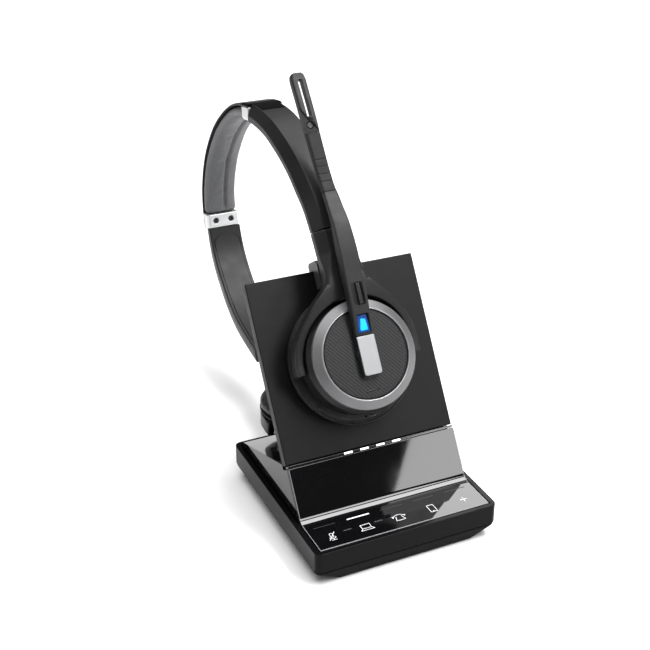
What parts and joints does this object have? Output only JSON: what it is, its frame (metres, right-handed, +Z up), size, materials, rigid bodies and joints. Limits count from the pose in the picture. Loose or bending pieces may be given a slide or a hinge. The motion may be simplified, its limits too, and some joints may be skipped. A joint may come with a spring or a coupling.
{
  "type": "office headset",
  "caption": "Wireless over-the-head office headset with a boom microphone, parked on a desktop charging base with a leaning rest plate and a touch panel.",
  "frame": {"origin": "middle of the bounding box's underside, on the surface the rubber feet stand on", "axes": "+Z up; +X to the right of the base as its touch panel is read; +Y from the touch panel to the sockets at the back"},
  "size_m": [0.0934, 0.237, 0.1996],
  "materials": {
    "gloss_black": "polished black moulding",
    "panel_black": "mirror-gloss black panel",
    "satin_black": "satin black moulding",
    "soft_black": "fine soft-touch black",
    "arm_grey": "matte dark grey moulding",
    "leatherette_black": "smooth black leatherette",
    "pad_grey": "soft dark grey leatherette",
    "speaker_cloth": "fine black cloth over the driver",
    "silver_ring": "satin silver-grey coat",
    "silver_bar": "fine brushed",
    "bright_steel": "bright brushed",
    "dark_steel": "dark coated steel",
    "gold_contact": "gold-plated contact",
    "window_blue": "clear blue window",
    "light_bar_smoked": "smoked bar with lamps behind",
    "rubber": "soft black rubber",
    "board_green": "green laminate board",
    "cell_grey": "silver-grey cell wrap"
  },
  "bodies": {
    "base": {"ballast_plate": "dark_steel", "base_tray": "gloss_black", "bottom_cover": "satin_black", "charge_pin_left": "gold_contact", "charge_pin_right": "gold_contact", "dock_block": "soft_black", "dock_magnet": "bright_steel", "light_bar": "light_bar_smoked", "main_board": "board_green", "phone_socket": "satin_black", "plate_back_cover": "satin_black", "power_socket": "satin_black", "rest_plate": "soft_black", "ringer_speaker": "dark_steel", "rubber_foot_1": "rubber", "rubber_foot_2": "rubber", "rubber_foot_3": "rubber", "rubber_foot_4": "rubber", "touch_panel": "panel_black", "usb_socket_left": "bright_steel", "usb_socket_right": "bright_steel", "wedge_housing": "gloss_black"},
    "front_cup": {"front_cup_ring": "silver_ring", "front_cup_shell": "satin_black", "front_ear_pad": "leatherette_black", "front_pivot_pin_left": "bright_steel", "front_pivot_pin_right": "bright_steel", "front_speaker": "speaker_cloth", "headset_board": "board_green", "battery": "cell_grey"},
    "call_button": {"call_button": "satin_black"},
    "power_switch": {"power_switch": "satin_black"},
    "boom": {"boom_arm": "arm_grey", "boom_trim_bar": "silver_bar", "status_window": "window_blue"},
    "mute_button": {"mute_button": "satin_black"},
    "boom_tip": {"boom_sleeve": "rubber", "boom_tip": "arm_grey", "microphone": "dark_steel"},
    "front_yoke": {"front_yoke": "arm_grey", "front_slide_strip": "bright_steel"},
    "headband": {"front_arm": "arm_grey", "rear_arm": "arm_grey", "band_cover": "satin_black", "headband_pad": "pad_grey", "front_bracket": "bright_steel", "rear_bracket": "bright_steel", "front_bracket_screw_left": "dark_steel", "front_bracket_screw_right": "dark_steel", "rear_bracket_screw_left": "dark_steel", "rear_bracket_screw_right": "dark_steel"},
    "rear_yoke": {"rear_yoke": "arm_grey", "rear_slide_strip": "bright_steel"},
    "rear_cup": {"rear_ear_pad": "leatherette_black", "rear_cup_shell": "satin_black", "rear_cup_cap": "soft_black", "rear_speaker": "speaker_cloth", "rear_pivot_pin_left": "bright_steel", "rear_pivot_pin_right": "bright_steel"}
  },
  "joints": [
    {"name": "headset_undock", "type": "slide", "parent": "base", "child": "front_cup", "axis": [0, -0.8455, 0.5339], "range_m": [0, 0.008]},
    {"name": "call_button_press", "type": "slide", "parent": "front_cup", "child": "call_button", "axis": [0, 0.8455, -0.5339], "range_m": [0, 0.0005], "stiffness_N_per_m": 900},
    {"name": "power_switch_slide", "type": "slide", "parent": "front_cup", "child": "power_switch", "axis": [1, 0, 0], "range_m": [0, 0.0025]},
    {"name": "boom_swing", "type": "hinge", "parent": "front_cup", "child": "boom", "pos_m": [-0.0024, -0.06667, 0.08217], "axis": [0, -0.8455, 0.5339], "range_deg": [-130, 130]},
    {"name": "mute_button_press", "type": "slide", "parent": "boom", "child": "mute_button", "axis": [0, 0.8455, -0.5339], "range_m": [0, 0.0005], "stiffness_N_per_m": 600},
    {"name": "boom_flex", "type": "hinge", "parent": "boom", "child": "boom_tip", "pos_m": [0, -0.03785, 0.15403], "axis": [1, 0, 0], "range_deg": [0, 20]},
    {"name": "front_cup_pivot", "type": "hinge", "parent": "front_cup", "child": "front_yoke", "pos_m": [-0.0024, -0.06667, 0.08217], "axis": [1, 0, 0], "range_deg": [0, 2.2]},
    {"name": "front_band_slide", "type": "slide", "parent": "front_yoke", "child": "headband", "axis": [0, 0.6076, 0.7943], "range_m": [0, 0.012]},
    {"name": "rear_band_slide", "type": "slide", "parent": "headband", "child": "rear_yoke", "axis": [0, 0.9886, 0.1508], "range_m": [0, 0.007]},
    {"name": "rear_cup_pivot", "type": "hinge", "parent": "rear_yoke", "child": "rear_cup", "pos_m": [-0.0024, -0.02856, 0.0309], "axis": [-1, 0, 0], "range_deg": [0, 3]}
  ]
}
